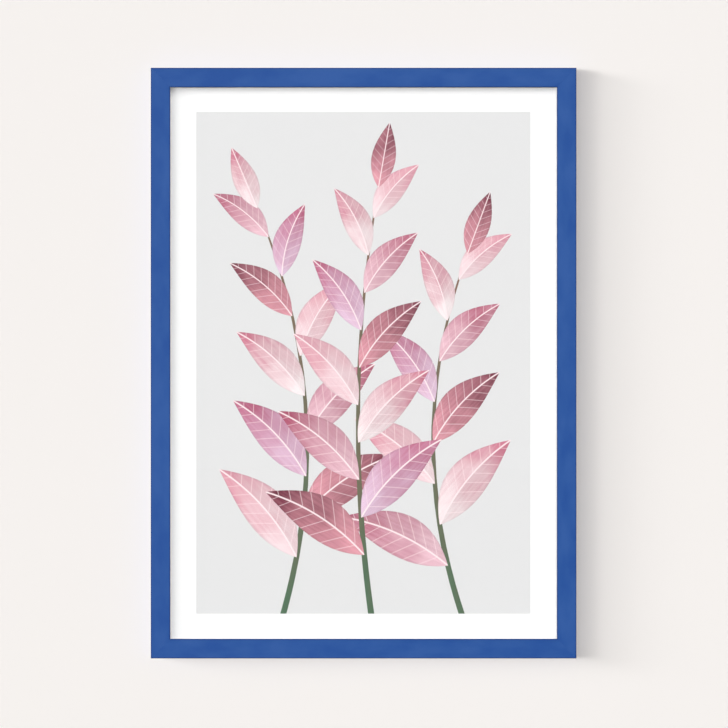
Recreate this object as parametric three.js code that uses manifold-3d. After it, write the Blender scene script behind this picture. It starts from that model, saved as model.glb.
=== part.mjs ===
// A framed print that hangs on a wall. Four rebated wooden rails, mitred and nailed at the corners,
// hold clear glazing, a paper sheet, a filler board and a backing board. Turn buttons on the long
// rails keep the backing in. A sawtooth hanger carries the frame on one nail, and two bumpers keep
// its foot off the wall.
//
// Millimetres. Someone looking at the picture looks along +Y, with +X to the right and +Z up.
// The origin is where the wall's nail bears on the hanger: the top of its middle notch.

import * as THREE from "three";
import { mergeVertices } from "three/addons/utils/BufferGeometryUtils.js";
import Module from "manifold-3d";

// The sheets, from the glazing to the backing.
const SHEET_W = 420;
const SHEET_H = 594;
const GLAZING_T = 1.5;
const GLAZING_TO_PRINT = 0.2;
const PRINT_T = 0.3;
const FILLER_T = 6;
const BACKING_T = 3;

// The moulding, and the room that its rebate leaves round the sheets.
const RAIL_FACE = 20.5;
const REBATE = 7;
const LIP = 3.5;
const SHEET_PLAY = 2;
const ARRIS_RADIUS = 0.8;
const MITRE_GAP = 0.1;

// The hanger: a strip whose toothed middle stands off the rail.
const HANGER_L = 45;
const HANGER_H = 10;
const HANGER_T = 1;
const HANGER_STANDOFF = 2;
const HANGER_FOOT = 8;
const HANGER_RAMP = 3;
const HANGER_CORNER = 2.5;
const TOOTH_PITCH = 4;
const TOOTH_DEPTH = 2;
const NOTCHES = 5;

// Its nails.
const HANGER_NAIL_FROM_END = 3.6;
const NAIL_SHANK_R = 0.9;
const NAIL_LENGTH = 10;
const NAIL_POINT = 2;
const NAIL_HEAD_R = 2.2;
const NAIL_CROWN_R = 1.3;
const NAIL_HEAD_H = 0.8;

// The turn buttons and their screws.
const BUTTONS_PER_RAIL = 3;
const BUTTON_SPACING = 200;
const BUTTON_T = 1.2;
const BUTTON_WIDE_R = 5.2;
const BUTTON_NARROW_R = 3.4;
const BUTTON_REACH = 16.4;
const SCREW_SHANK_R = 1.5;
const SCREW_LENGTH = 9;
const SCREW_POINT = 3;
const SCREW_HEAD_R = 3.4;
const SCREW_RIM_H = 0.7;
const SCREW_HEAD_H = 1.7;

// The V nails across the mitres: sheet steel, folded along the mitre line.
const V_NAIL_APEX = 4.5;
const V_NAIL_LEG = 6;
const V_NAIL_T = 0.6;
const V_NAIL_DEEP = 8;
const V_NAIL_BELOW = 0.2;

// The bumpers.
const BUMPER_R = 5;
const BUMPER_H = 4;
const BUMPER_FACE_R = 3.2;
const BUMPER_FROM_CORNER = 30;

// Clearance between a piece and the hole, slot or plate that it is cut for.
const CLEAR = 0.3;
const ROUND_SIDES = 24;
const HOLE_SIDES = 16;
const ARC_STEPS = 4;
const MERGE_WITHIN = 1e-4;

// Sizes that follow.
const LAND = RAIL_FACE - REBATE;
const RAIL_DEPTH = LIP + GLAZING_T + GLAZING_TO_PRINT + PRINT_T + FILLER_T + BACKING_T;
const OUTER_W = SHEET_W + SHEET_PLAY + 2 * LAND;
const OUTER_H = SHEET_H + SHEET_PLAY + 2 * LAND;
const BACK = -(HANGER_STANDOFF + HANGER_T / 2);
const FRONT = BACK - RAIL_DEPTH;
const TOP = LAND / 2 + HANGER_H / 2 - TOOTH_DEPTH;
const BOTTOM = TOP - OUTER_H;
const MIDDLE = (TOP + BOTTOM) / 2;
const SIDE = OUTER_W / 2;

const BLUE_WOOD = finish(0x365ba1, 0.45, 0);
const CLEAR_ACRYLIC = finish(0xf4f8f8, 0.02, 0);
CLEAR_ACRYLIC.transparent = true;
CLEAR_ACRYLIC.opacity = 0.2;
const PAPER = finish(0xfbfbfa, 0.85, 0);
const CARD = finish(0xc9a877, 0.9, 0);
const HARDBOARD = finish(0x9a7450, 0.8, 0);
const ZINC_STEEL = finish(0xb9bcc0, 0.35, 1);
const BUMPER_RUBBER = finish(0x2b2c2e, 0.7, 0);

const wasm = await Module();
wasm.setup();

function finish(color, roughness, metalness) {
  return new THREE.MeshStandardMaterial({ color, roughness, metalness });
}

// Solids for cutting and joining.

function toSolid(geometry) {
  const bare = geometry.clone();
  bare.deleteAttribute("normal");
  bare.deleteAttribute("uv");
  const merged = mergeVertices(bare, MERGE_WITHIN);
  const mesh = new wasm.Mesh({
    numProp: 3,
    vertProperties: merged.attributes.position.array,
    triVerts: new Uint32Array(merged.index.array),
  });
  return new wasm.Manifold(mesh);
}

function toGeometry(solid) {
  const mesh = solid.getMesh();
  const geometry = new THREE.BufferGeometry();
  geometry.setAttribute("position", new THREE.BufferAttribute(mesh.vertProperties, 3));
  geometry.setIndex(new THREE.BufferAttribute(mesh.triVerts, 1));
  geometry.computeVertexNormals();
  return geometry;
}

// A plate with this outline in X and Z, from y = 0 back to y = thickness.
function plate(outline, thickness) {
  const settings = { depth: thickness, bevelEnabled: false, curveSegments: ARC_STEPS * 2 };
  return new THREE.ExtrudeGeometry(outline, settings).rotateX(Math.PI / 2).translate(0, thickness, 0);
}

// A turned piece about the Y axis. The profile's points are [radius, y], from its low end up.
function turned(profile) {
  const points = profile.map(([radius, y]) => new THREE.Vector2(radius, y));
  return new THREE.LatheGeometry(points, ROUND_SIDES);
}

function polygon(points) {
  return new THREE.Shape(points.map(([x, z]) => new THREE.Vector2(x, z)));
}

// A round hole from y = low to y = high, as the solid that it takes away.
function holeAt(x, z, radius, low, high) {
  const drill = new THREE.CylinderGeometry(radius, radius, high - low, HOLE_SIDES);
  return toSolid(drill.translate(x, (low + high) / 2, z));
}

// The V nail seen along Y, in the corner that lies towards -signX and -signZ of it: two legs that
// start on the mitre line and run along the two rails. The slot for it is the same with a margin.
function vOutline(signX, signZ, margin) {
  const half = V_NAIL_T / 2 + margin;
  const near = V_NAIL_APEX - half;
  const far = V_NAIL_APEX + half;
  const end = V_NAIL_APEX + V_NAIL_LEG + margin;
  const points = [
    [near, near],
    [end, near],
    [end, far],
    [far, far],
    [far, end],
    [near, end],
  ];
  return polygon(points.map(([x, z]) => [signX * x, signZ * z]));
}

// Rails. A rail is made lying along X, with y the depth behind its front face and z the inset from
// its outer edge, and is then turned to its side of the frame.

function railSection() {
  const r = ARRIS_RADIUS;
  const section = new THREE.Shape();
  section.moveTo(RAIL_DEPTH, 0);
  section.lineTo(RAIL_DEPTH, LAND);
  section.lineTo(LIP, LAND);
  section.lineTo(LIP, RAIL_FACE);
  section.lineTo(r, RAIL_FACE);
  section.absarc(r, RAIL_FACE - r, r, Math.PI / 2, Math.PI);
  section.lineTo(0, r);
  section.absarc(r, r, r, Math.PI, Math.PI * 1.5);
  section.closePath();
  return section;
}

// The section is drawn as (depth, inset) and extruded along the rail. Each end is then slid along
// the rail by its inset, which gives the 45 degree mitre.
function railBlank(length) {
  const settings = { depth: length, bevelEnabled: false, curveSegments: ARC_STEPS };
  const blank = new THREE.ExtrudeGeometry(railSection(), settings);
  const depthAxis = new THREE.Vector3(0, 1, 0);
  const insetAxis = new THREE.Vector3(0, 0, 1);
  const lengthAxis = new THREE.Vector3(1, 0, 0);
  blank.translate(0, 0, -length / 2);
  blank.applyMatrix4(new THREE.Matrix4().makeBasis(depthAxis, insetAxis, lengthAxis));
  const position = blank.attributes.position;
  const trim = MITRE_GAP / Math.SQRT2;
  for (let i = 0; i < position.count; i += 1) {
    const reach = length / 2 - position.getZ(i) - trim;
    position.setX(i, Math.sign(position.getX(i)) * reach);
  }
  return toSolid(blank);
}

function vSlot(length, end) {
  const deep = V_NAIL_BELOW + V_NAIL_DEEP + CLEAR;
  const slot = plate(vOutline(-end, 1, CLEAR), deep + CLEAR);
  return toSolid(slot.translate((end * length) / 2, RAIL_DEPTH - deep, 0));
}

function rail(length, holes) {
  const cuts = [vSlot(length, -1), vSlot(length, 1), ...holes];
  return toGeometry(cuts.reduce((solid, cut) => solid.subtract(cut), railBlank(length)));
}

function longRail() {
  const deepest = RAIL_DEPTH - SCREW_LENGTH - CLEAR;
  const hole = (x) => holeAt(x, LAND / 2, SCREW_SHANK_R + CLEAR, deepest, RAIL_DEPTH + CLEAR);
  return rail(OUTER_H, buttonPlaces().map(hole));
}

function topRail() {
  const deepest = RAIL_DEPTH - NAIL_LENGTH - CLEAR;
  const hole = (x) => holeAt(x, LAND / 2, NAIL_SHANK_R + CLEAR, deepest, RAIL_DEPTH + CLEAR);
  return rail(OUTER_W, hangerNailPlaces().map(hole));
}

// Places along a rail, from its middle.

function buttonPlaces() {
  const middle = (BUTTONS_PER_RAIL - 1) / 2;
  return Array.from({ length: BUTTONS_PER_RAIL }, (_, i) => (i - middle) * BUTTON_SPACING);
}

function hangerNailPlaces() {
  const x = HANGER_L / 2 - HANGER_NAIL_FROM_END;
  return [-x, x];
}

// Hardware. Each piece is made with y = 0 on the back of the rail that it is fixed to.

// Two round ends and the straight lines that touch both, with a hole at the wide end.
function turnButton() {
  const apart = BUTTON_REACH - BUTTON_NARROW_R;
  const touch = Math.acos((BUTTON_WIDE_R - BUTTON_NARROW_R) / apart);
  const outline = new THREE.Shape();
  outline.absarc(0, 0, BUTTON_WIDE_R, touch, 2 * Math.PI - touch);
  outline.absarc(apart, 0, BUTTON_NARROW_R, -touch, touch);
  outline.closePath();
  const hole = new THREE.Path();
  hole.absarc(0, 0, SCREW_SHANK_R + CLEAR, 0, 2 * Math.PI);
  outline.holes.push(hole);
  return plate(outline, BUTTON_T).translate(0, CLEAR, 0);
}

function buttonScrew() {
  const under = CLEAR + BUTTON_T + CLEAR;
  const dome = SCREW_HEAD_H - SCREW_RIM_H;
  const profile = [
    [0, -SCREW_LENGTH],
    [SCREW_SHANK_R, SCREW_POINT - SCREW_LENGTH],
    [SCREW_SHANK_R, under],
    [SCREW_HEAD_R, under],
    [SCREW_HEAD_R, under + SCREW_RIM_H],
  ];
  for (let i = 1; i <= ARC_STEPS; i += 1) {
    const turn = ((i / ARC_STEPS) * Math.PI) / 2;
    const radius = i < ARC_STEPS ? SCREW_HEAD_R * Math.cos(turn) : 0;
    profile.push([radius, under + SCREW_RIM_H + dome * Math.sin(turn)]);
  }
  return turned(profile);
}

// The strip's bent profile, as wide as the strip is high, cut to the outline with its teeth.
function sawtoothHanger() {
  const end = HANGER_L / 2;
  const foot = end - HANGER_FOOT;
  const raised = foot - HANGER_RAMP;
  const low = HANGER_STANDOFF;
  const bend = polygon([
    [-end, 0],
    [-foot, 0],
    [-raised, low],
    [raised, low],
    [foot, 0],
    [end, 0],
    [end, HANGER_T],
    [foot, HANGER_T],
    [raised, low + HANGER_T],
    [-raised, low + HANGER_T],
    [-foot, HANGER_T],
    [-end, HANGER_T],
  ]);
  const tall = HANGER_H + 2 * CLEAR;
  const strip = new THREE.ExtrudeGeometry(bend, { depth: tall, bevelEnabled: false });
  const bent = toSolid(strip.translate(0, 0, -tall / 2));
  const punch = toSolid(plate(hangerOutline(), low + HANGER_T + 2 * CLEAR).translate(0, -CLEAR, 0));
  return toGeometry(bent.intersect(punch));
}

function hangerOutline() {
  const end = HANGER_L / 2;
  const high = HANGER_H / 2;
  const r = HANGER_CORNER;
  const outline = new THREE.Shape();
  outline.absarc(end - r, high - r, r, 0, Math.PI / 2);
  outline.absarc(r - end, high - r, r, Math.PI / 2, Math.PI);
  outline.absarc(r - end, r - high, r, Math.PI, Math.PI * 1.5);
  for (let i = 0; i <= 2 * NOTCHES; i += 1) {
    const x = ((i - NOTCHES) * TOOTH_PITCH) / 2;
    outline.lineTo(x, i % 2 === 0 ? -high : TOOTH_DEPTH - high);
  }
  outline.absarc(end - r, r - high, r, Math.PI * 1.5, Math.PI * 2);
  outline.closePath();
  for (const x of hangerNailPlaces()) {
    const hole = new THREE.Path();
    hole.absarc(x, 0, NAIL_SHANK_R + CLEAR, 0, 2 * Math.PI);
    outline.holes.push(hole);
  }
  return outline;
}

function hangerNail() {
  const under = HANGER_T + CLEAR;
  return turned([
    [0, -NAIL_LENGTH],
    [NAIL_SHANK_R, NAIL_POINT - NAIL_LENGTH],
    [NAIL_SHANK_R, under],
    [NAIL_HEAD_R, under],
    [NAIL_HEAD_R, under + NAIL_HEAD_H / 2],
    [NAIL_CROWN_R, under + NAIL_HEAD_H],
    [0, under + NAIL_HEAD_H],
  ]);
}

function bumper() {
  return turned([
    [0, 0],
    [BUMPER_R, 0],
    [BUMPER_R, BUMPER_H / 2],
    [BUMPER_FACE_R, BUMPER_H],
    [0, BUMPER_H],
  ]);
}

// The assembly.

const framedPrint = new THREE.Group();

function add(name, geometry, material, x, y, z, turnY = 0) {
  const mesh = new THREE.Mesh(geometry, material);
  mesh.name = name;
  mesh.position.set(x, y, z);
  mesh.rotation.y = turnY;
  framedPrint.add(mesh);
}

function addRails() {
  add("rail_bottom", rail(OUTER_W, []), BLUE_WOOD.clone(), 0, FRONT, BOTTOM);
  add("rail_top", topRail(), BLUE_WOOD.clone(), 0, FRONT, TOP, Math.PI);
  add("rail_left", longRail(), BLUE_WOOD.clone(), -SIDE, FRONT, MIDDLE, Math.PI / 2);
  add("rail_right", longRail(), BLUE_WOOD.clone(), SIDE, FRONT, MIDDLE, -Math.PI / 2);
}

function addVNails() {
  for (const [sideName, signX] of [["left", 1], ["right", -1]]) {
    for (const [endName, signZ, z] of [["bottom", 1, BOTTOM], ["top", -1, TOP]]) {
      const nail = plate(vOutline(signX, signZ, 0), V_NAIL_DEEP);
      const y = BACK - V_NAIL_BELOW - V_NAIL_DEEP;
      add(`v_nail_${endName}_${sideName}`, nail, ZINC_STEEL.clone(), -signX * SIDE, y, z);
    }
  }
}

// The sheets stand on the bottom rail's rebate, one behind another from the lip to the back.
function addSheets() {
  const z = BOTTOM + LAND + SHEET_H / 2;
  let y = FRONT + LIP;
  const sheets = [
    ["glazing", GLAZING_T, CLEAR_ACRYLIC, GLAZING_TO_PRINT],
    ["print_sheet", PRINT_T, PAPER, 0],
    ["filler_board", FILLER_T, CARD, 0],
    ["backing_board", BACKING_T, HARDBOARD, 0],
  ];
  for (const [name, thick, material, gapBehind] of sheets) {
    add(name, new THREE.BoxGeometry(SHEET_W, thick, SHEET_H), material, 0, y + thick / 2, z);
    y += thick + gapBehind;
  }
}

function addTurnButtons() {
  const heights = ["low", "mid", "high"];
  const railMiddle = SIDE - LAND / 2;
  buttonPlaces().forEach((place, i) => {
    for (const [sideName, x, turnY] of [["left", -railMiddle, 0], ["right", railMiddle, Math.PI]]) {
      const name = `${sideName}_${heights[i]}`;
      add(`turn_button_${name}`, turnButton(), ZINC_STEEL.clone(), x, BACK, MIDDLE + place, turnY);
      add(`button_screw_${name}`, buttonScrew(), ZINC_STEEL.clone(), x, BACK, MIDDLE + place);
    }
  });
}

function addHanger() {
  const z = TOP - LAND / 2;
  add("hanger", sawtoothHanger(), ZINC_STEEL.clone(), 0, BACK, z);
  const [left, right] = hangerNailPlaces();
  add("hanger_nail_left", hangerNail(), ZINC_STEEL.clone(), left, BACK, z);
  add("hanger_nail_right", hangerNail(), ZINC_STEEL.clone(), right, BACK, z);
}

function addBumpers() {
  const x = SIDE - BUMPER_FROM_CORNER;
  add("bumper_left", bumper(), BUMPER_RUBBER.clone(), -x, BACK, BOTTOM + LAND / 2);
  add("bumper_right", bumper(), BUMPER_RUBBER.clone(), x, BACK, BOTTOM + LAND / 2);
}

addRails();
addVNails();
addSheets();
addTurnButtons();
addHanger();
addBumpers();

export default framedPrint;
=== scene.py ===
# %% [markdown]
# # A framed print that hangs on a wall
# Four mitred rails of painted wood hold clear acrylic, a printed sheet and two boards. Turn buttons
# on the two long rails keep the boards in, and a sawtooth hanger carries it all on one nail.
#
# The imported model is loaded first, and it never moves. Everything below is either a finish for one
# of its nodes or a finer piece that stands in the same place. All lengths are in metres, with X to
# the right of someone who faces the picture, Y towards the wall and Z up.

import bmesh
import bpy
import numpy as np
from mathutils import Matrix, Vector
from mathutils.geometry import delaunay_2d_cdt


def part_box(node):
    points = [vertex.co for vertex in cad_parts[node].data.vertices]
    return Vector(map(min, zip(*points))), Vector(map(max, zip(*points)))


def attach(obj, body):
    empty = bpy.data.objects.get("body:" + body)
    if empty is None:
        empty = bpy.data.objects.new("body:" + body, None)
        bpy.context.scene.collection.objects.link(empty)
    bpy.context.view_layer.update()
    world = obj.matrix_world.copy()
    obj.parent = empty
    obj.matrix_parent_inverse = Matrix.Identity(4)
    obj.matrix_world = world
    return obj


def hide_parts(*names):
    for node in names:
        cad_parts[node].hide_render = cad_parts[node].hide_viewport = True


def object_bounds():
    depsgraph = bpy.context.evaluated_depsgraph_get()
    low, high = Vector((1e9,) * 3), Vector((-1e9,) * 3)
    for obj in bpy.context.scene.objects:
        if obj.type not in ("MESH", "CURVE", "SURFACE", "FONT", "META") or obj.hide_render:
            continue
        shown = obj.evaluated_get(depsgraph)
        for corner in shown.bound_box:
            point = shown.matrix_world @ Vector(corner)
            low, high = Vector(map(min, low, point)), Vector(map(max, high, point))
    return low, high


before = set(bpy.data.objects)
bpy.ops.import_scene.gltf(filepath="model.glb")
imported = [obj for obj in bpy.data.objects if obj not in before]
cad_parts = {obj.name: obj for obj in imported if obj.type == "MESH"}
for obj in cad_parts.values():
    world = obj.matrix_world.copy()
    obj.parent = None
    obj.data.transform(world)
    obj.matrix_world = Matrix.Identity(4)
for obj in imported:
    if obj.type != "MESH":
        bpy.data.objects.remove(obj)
cad_low, cad_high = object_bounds()
MM = 0.001

# %% [markdown]
# ## The sizes that the pieces share
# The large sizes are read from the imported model, so a change there reaches the scene by itself. The
# rebate is repeated here, because no node's box shows how deep it is cut into the rail, and the
# small sizes of the fittings are repeated further down, where each fitting is made.

# %% Read the sizes
REBATE = 7 * MM
rail_low, rail_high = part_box("rail_left")
sheet_low, sheet_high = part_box("print_sheet")
left, right = rail_low.x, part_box("rail_right")[1].x
bottom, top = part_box("rail_bottom")[0].z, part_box("rail_top")[1].z
front, back = rail_low.y, rail_high.y
wall_face = cad_high.y
middle_x, middle_z = (left + right) / 2, (bottom + top) / 2
rail_face = rail_high.x - rail_low.x
rail_depth = back - front
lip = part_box("glazing")[0].y - front
land = rail_face - REBATE
print("frame", round((right - left) / MM), "x", round((top - bottom) / MM), "mm")
print("lip", round(lip / MM, 2), "mm")

# %% [markdown]
# ## Helpers
# A colour is easiest to choose as an sRGB hex value, but a shader works in linear light, so one
# function turns the one into the other. A second adds a node with its settings and links, which
# keeps each material readable as a list of steps. The others start or end a material, or put an
# object in the scene.

# %% Colours and nodes
SRGB_DARK, SRGB_DARK_SLOPE = 0.04045, 12.92
SRGB_OFFSET, SRGB_POWER, SRGB_FULL = 0.055, 2.4, 255
# A Mix node has sockets for every kind of data, numbered in one row. These are the two that take
# plain numbers, the two that take colours, and the output that gives a colour.
PLAIN_A, PLAIN_B = 2, 3
MIX_A, MIX_B, MIX_COLOUR = 6, 7, 2


def linear(code):
    """sRGB hex to linear: ((c + 0.055) / 1.055) to the power 2.4, or c / 12.92 where c is dark."""
    coded = np.array(list(bytes.fromhex(code))) / SRGB_FULL
    bright = ((coded + SRGB_OFFSET) / (1 + SRGB_OFFSET)) ** SRGB_POWER
    return (*np.where(coded <= SRGB_DARK, coded / SRGB_DARK_SLOPE, bright).tolist(), 1.0)


WHITE = linear("FFFFFF")


def add_node(tree, kind, inputs=None, stops=(), **settings):
    """Adds a node of a kind, named without the ShaderNode that they all start with. settings are
    its properties. inputs name its sockets, by word or number: a node (its first output) or an
    output socket there is linked, and anything else is set as the value. stops are the places and
    colours of a colour ramp, in order."""
    made = tree.nodes.new("ShaderNode" + kind)
    for name, value in settings.items():
        setattr(made, name, value)
    for name, value in (inputs or {}).items():
        if isinstance(value, bpy.types.Node):
            value = value.outputs[0]
        if isinstance(value, bpy.types.NodeSocket):
            tree.links.new(value, made.inputs[name])
        else:
            made.inputs[name].default_value = value
    for k, (place, colour) in enumerate(stops):
        elements = made.color_ramp.elements
        element = elements[k] if k < len(elements) else elements.new(place)
        element.position, element.color = place, colour
    return made


def new_material(name):
    """A material with an empty node tree, and that tree."""
    made = bpy.data.materials.new(name)
    made.use_nodes = True
    made.node_tree.nodes.clear()
    return made, made.node_tree


def open_where(made, tree, paint, first, second):
    """Ends a material with paint that is see-through where either of two values is 1."""
    open_to = add_node(tree, "Math", {0: first, 1: second}, operation="MAXIMUM")
    clear = add_node(tree, "BsdfTransparent")
    shader = add_node(tree, "MixShader", {0: open_to, 1: paint, 2: clear})
    add_node(tree, "OutputMaterial", {"Surface": shader})
    return made


def finish_with(made, tree, height, deep, values):
    """Ends a material with one Principled shader and a bump that goes this deep."""
    bump = add_node(tree, "Bump", {"Height": height, "Distance": deep})
    shader = add_node(tree, "BsdfPrincipled", {**values, "Normal": bump})
    add_node(tree, "OutputMaterial", {"Surface": shader})
    return made


def put_in_scene(name, data):
    """Makes an object of a mesh, a lamp or a camera, and links it to the scene."""
    made = bpy.data.objects.new(name, data)
    bpy.context.scene.collection.objects.link(made)
    return made


print("helpers ready")

# %% [markdown]
# ## Meshes from arrays
# A bar, a screw and a rubber foot are all a ring of points carried along a path, so one function
# makes the faces between the rings and closes both ends. The rings come as one numpy array, with no
# loop over points. No real edge is quite sharp, so a second function turns the corners of a path
# into small arcs, which catch the light as the real ones do.

# %% Rings and rounded paths
SHARP_ANGLE = np.radians(40)
ARC_POINTS = 5


def skin(rings, loop=False, first=0):
    """Faces between neighbouring rings, each a quad from point k to point k + 1 of two rings. The
    ends are closed by one face each, or joined to each other where the rings make a loop. first is
    the number of the first point."""
    count, around = rings.shape[:2]
    number = first + np.arange(count * around).reshape(count, around)
    following = np.roll(number, -1, axis=0)
    last = count if loop else count - 1
    ahead = np.roll(number, -1, axis=1)
    ahead_following = np.roll(following, -1, axis=1)
    quads = np.stack([number, ahead, ahead_following, following], axis=-1)[:last].reshape(-1, 4)
    ends = [] if loop else [number[0][::-1].tolist(), number[-1].tolist()]
    return quads.tolist() + ends


def rounded(corners, radii, support=0.0):
    """The path through corners, each turned into an arc of its radius, or kept where that is 0.
    With unit directions a and b to the corners before and after, and h half the angle between them,
    the arc's centre is r / sin h along their bisector, and it touches both sides r / tan h away.
    Its spokes blend the first and the last: (s sin((1 - t) w) + e sin(t w)) / sin w, with w their
    angle. Where support is given, one more point stands that far outside each end of an arc."""
    corners = np.asarray(corners, float)
    t = np.linspace(0, 1, ARC_POINTS)[:, None]
    points = []
    for k, (corner, r) in enumerate(zip(corners, radii)):
        if r == 0:
            points.append(corner[None])
            continue
        before, after = corners[k - 1] - corner, corners[(k + 1) % len(corners)] - corner
        a, b = before / np.linalg.norm(before), after / np.linalg.norm(after)
        h = np.arccos(a @ b) / 2
        reach = r / np.tan(h)
        centre = corner + (a + b) / np.linalg.norm(a + b) * r / np.sin(h)
        s, e = corner + a * reach - centre, corner + b * reach - centre
        w = np.pi - 2 * h
        arc = centre + (s * np.sin((1 - t) * w) + e * np.sin(t * w)) / np.sin(w)
        held = [corner + d * (reach + support) for d in (a, b) if support]
        points += [held[:1], arc, held[1:]] if held else [arc]
    return np.concatenate(points)


print("a rounded square has", len(rounded([(0, 0), (0, 1), (1, 1), (1, 0)], [0.1] * 4)), "points")

# %% Meshes and pieces
def closed_mesh(name, points, faces):
    """A mesh with its faces turned outwards, smooth but for edges over 40 degrees."""
    mesh = bpy.data.meshes.new(name)
    mesh.from_pydata(points.reshape(-1, 3).tolist(), [], faces)
    working = bmesh.new()
    working.from_mesh(mesh)
    bmesh.ops.recalc_face_normals(working, faces=working.faces)
    working.to_mesh(mesh)
    working.free()
    smooth(mesh)
    return mesh


def smooth(mesh):
    """Smooth shading, with edges over 40 degrees kept sharp."""
    mesh.shade_smooth()
    mesh.set_sharp_from_angle(angle=SHARP_ANGLE)


def add_piece(name, mesh, material, body, node):
    """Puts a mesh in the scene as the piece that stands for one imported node."""
    mesh.materials.append(material)
    made = put_in_scene(name, mesh)
    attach(made, body)
    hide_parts(node)
    return made


def mesh_points(mesh):
    """The mesh's points as an array of rows."""
    flat = np.empty(len(mesh.vertices) * 3)
    mesh.vertices.foreach_get("co", flat)
    return flat.reshape(-1, 3)


def set_attribute(mesh, name, kind, domain, values):
    """Writes one value, vector or colour a point or a face corner, as a named attribute."""
    key = {"FLOAT": "value", "FLOAT_VECTOR": "vector", "FLOAT_COLOR": "color"}[kind]
    mesh.attributes.new(name, kind, domain).data.foreach_set(key, values.astype(np.float32).ravel())


print("mesh helpers ready")

# %% [markdown]
# ## The camera
# The frame is seen straight on from about 4 m through a long lens, so its sides hardly converge.
# The camera's place is worked out from the width that it takes in at the frame's front.

# %% Camera
LENS, SENSOR = 187.0, 36.0
FIELD = 767.9 * MM
AIM_RIGHT, AIM_DOWN = 0.42 * MM, 0.95 * MM
camera_data = bpy.data.cameras.new("camera")
camera_data.lens = LENS
camera_data.sensor_width = SENSOR
camera = put_in_scene("camera", camera_data)
distance = FIELD * LENS / SENSOR
camera.location = (middle_x + AIM_RIGHT, front - distance, middle_z - AIM_DOWN)
camera.rotation_euler = (np.pi / 2, 0, 0)
bpy.context.scene.camera = camera
bpy.context.scene.view_settings.view_transform = "Standard"
print("camera", round(distance, 2), "m in front")

# %% [markdown]
# ## The studio
# The wall is drawn from its front only. Seen from behind it vanishes, and it lets lamps through, so
# that the back of the frame can be looked at and lit. It glows a little, which stands for the light
# of a white room that casts no shadow. The floor is far below.

# %% Wall and floor
WALL_HALF = 1.6
FLOOR_HALF = 40.0
FLOOR_DROP = 0.9
WALL_GLOW = 0.28
FLOOR_GLOW = 0.21
WALL_COLOUR = linear("ECE8E5")
FLOOR_COLOUR = linear("DEDCD8")
FLOOR_DIM = linear("4A4A4A")
# A count of bounces is a whole number, so this is between none and one.
BEFORE_BOUNCE = 0.5


def stage_plane(name, centre, across, up, half, material):
    """A square with its middle at centre: centre plus or minus half times each of two
    directions."""
    signs = np.array([[-1, -1], [1, -1], [1, 1], [-1, 1]]) * half
    points = np.array(centre) + signs @ np.array([across, up])
    mesh = bpy.data.meshes.new(name)
    mesh.from_pydata(points.tolist(), [], [(0, 1, 2, 3)])
    mesh.materials.append(material)
    made = put_in_scene(name, mesh)
    return made


def glowing_paint(tree, colour, glow):
    """Matt paint, plus a little light of its own."""
    paint = add_node(tree, "BsdfDiffuse", {"Color": colour})
    light = add_node(tree, "Emission", {"Color": colour, "Strength": glow})
    return add_node(tree, "AddShader", {0: paint, 1: light})


def wall_paint():
    """Matt emulsion, see-through from behind. It also lets the back lamps through, but only to what
    the eye sees directly, or light from the frame's back would leak out round it onto the wall."""
    made, tree = new_material("wall emulsion")
    paint = glowing_paint(tree, WALL_COLOUR, WALL_GLOW)
    behind = add_node(tree, "NewGeometry").outputs["Backfacing"]
    rays = add_node(tree, "LightPath").outputs
    bounces = {0: rays["Diffuse Depth"], 1: BEFORE_BOUNCE}
    direct = add_node(tree, "Math", bounces, operation="LESS_THAN")
    lamps = {0: rays["Is Shadow Ray"], 1: direct}
    to_lamp = add_node(tree, "Math", lamps, operation="MULTIPLY")
    return open_where(made, tree, paint, behind, to_lamp)


def floor_paint():
    """Pale to the eye, and see-through from below. To every other ray it is dim, so that so wide a
    floor doesn't light the wall, and to rays that look for a lamp it is open."""
    made, tree = new_material("floor paint")
    pale = glowing_paint(tree, FLOOR_COLOUR, FLOOR_GLOW)
    dim = add_node(tree, "BsdfDiffuse", {"Color": FLOOR_DIM})
    rays = add_node(tree, "LightPath").outputs
    paint = add_node(tree, "MixShader", {0: rays["Is Camera Ray"], 1: dim, 2: pale})
    below = add_node(tree, "NewGeometry").outputs["Backfacing"]
    return open_where(made, tree, paint, rays["Is Shadow Ray"], below)


ALONG_X, ALONG_Y, ALONG_Z = (1, 0, 0), (0, 1, 0), (0, 0, 1)
wall_place = (middle_x, wall_face, middle_z)
floor_place = (middle_x, 0, bottom - FLOOR_DROP)
studio_wall = stage_plane("studio_wall", wall_place, ALONG_X, ALONG_Z, WALL_HALF, wall_paint())
studio_floor = stage_plane("studio_floor", floor_place, ALONG_X, ALONG_Y, FLOOR_HALF, floor_paint())
print("stage: wall", 2 * WALL_HALF, "m wide")

# %% [markdown]
# ## The light
# A tall soft light stands to the left. It is made of six wide suns stacked from grazing to nearly
# straight on, because far lamps light the whole wall evenly, and each one's share sets how the
# shadow beside the frame fades. The two most grazing come from a little higher up, so a soft
# strip of shadow lies under the frame too. Two softer suns come from above and are kept off the
# wall and the floor, as studio lamps are with a flag. A front light that no gloss shows fills the
# rest. The sky is dim in front, so that the acrylic stays clear, and brighter behind, for the steel
# to mirror.

# %% Suns and sky
KEY_LIGHT, TOP_LIGHT, FRONT_LIGHT, SKY_LIGHT, BACK_LIGHT = 0.50, 0.42, 0.26, 0.08, 0.30
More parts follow.
